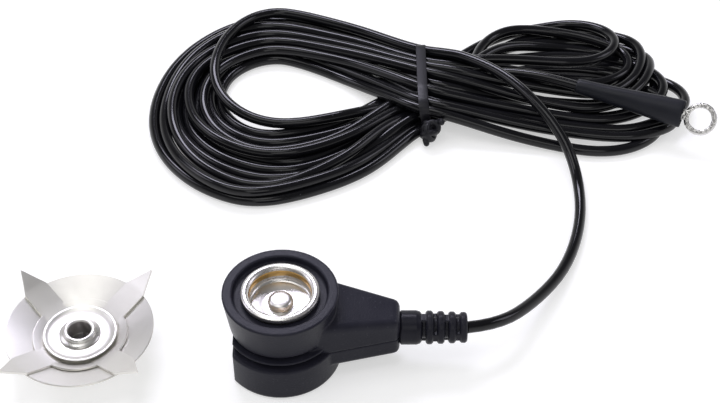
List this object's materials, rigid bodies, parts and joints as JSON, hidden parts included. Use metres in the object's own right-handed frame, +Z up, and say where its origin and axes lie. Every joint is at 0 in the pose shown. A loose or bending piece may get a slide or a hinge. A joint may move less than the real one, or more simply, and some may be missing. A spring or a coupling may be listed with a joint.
{
  "type": "antistatic grounding cord kit",
  "caption": "Moulded snap-socket connector with a resistor inside, a tied hank of thin cord ending in a ring terminal, and a loose pronged mat stud.",
  "frame": {"origin": "on the surface it lies on, under the middle of the box round the connector and the mat stud", "axes": "+Z up out of the snap socket, +X from the socket along the connector towards its strain relief, +Y towards the hank of cord"},
  "size_m": [0.1291, 0.104, 0.0157],
  "materials": {
    "moulding": "satin, finely spark-eroded moulded plastic, charcoal with a slight blue tint",
    "relief": "satin moulded flexible PVC",
    "cable_jacket": "glossy extruded black PVC",
    "tie": "semi-gloss plastic-covered tie",
    "sleeve": "semi-matte shrunk tubing, no marking",
    "nickel": "nickel-plated pressed steel, lightly dulled",
    "brass": "drawn spring brass",
    "tinned": "tin-plated copper, slightly uneven",
    "copper": "bare stranded copper",
    "resistor": "lacquered ceramic"
  },
  "bodies": {
    "cord_set": {"housing_base": "moulding", "housing_cap": "moulding", "socket_cup": "nickel", "spring_ring": "brass", "centre_rivet": "nickel", "contact_washer": "brass", "contact_post": "brass", "plug_jack": "nickel", "resistor_body": "resistor", "front_lead": "tinned", "rear_lead": "tinned", "crimp_ferrule": "tinned", "conductor_end": "copper", "cable_stub": "cable_jacket", "strain_relief": "relief", "cable_hank": "cable_jacket", "hank_tie": "tie", "tie_twist": "tie", "heat_shrink_sleeve": "sleeve", "ring_terminal": "tinned", "sleeved_cable": "cable_jacket", "terminal_conductor": "copper", "cable_lead": "cable_jacket", "cable_tail": "cable_jacket"},
    "mat_stud": {"male_stud": "nickel", "backing_disc": "nickel", "prong_plate": "nickel", "cup_washer": "nickel", "eyelet": "nickel"}
  },
  "joints": [
    {"name": "stud_lift", "type": "slide", "parent": "cord_set", "child": "mat_stud", "axis": [0, 0, 1], "range_m": [0, 0.03]}
  ]
}
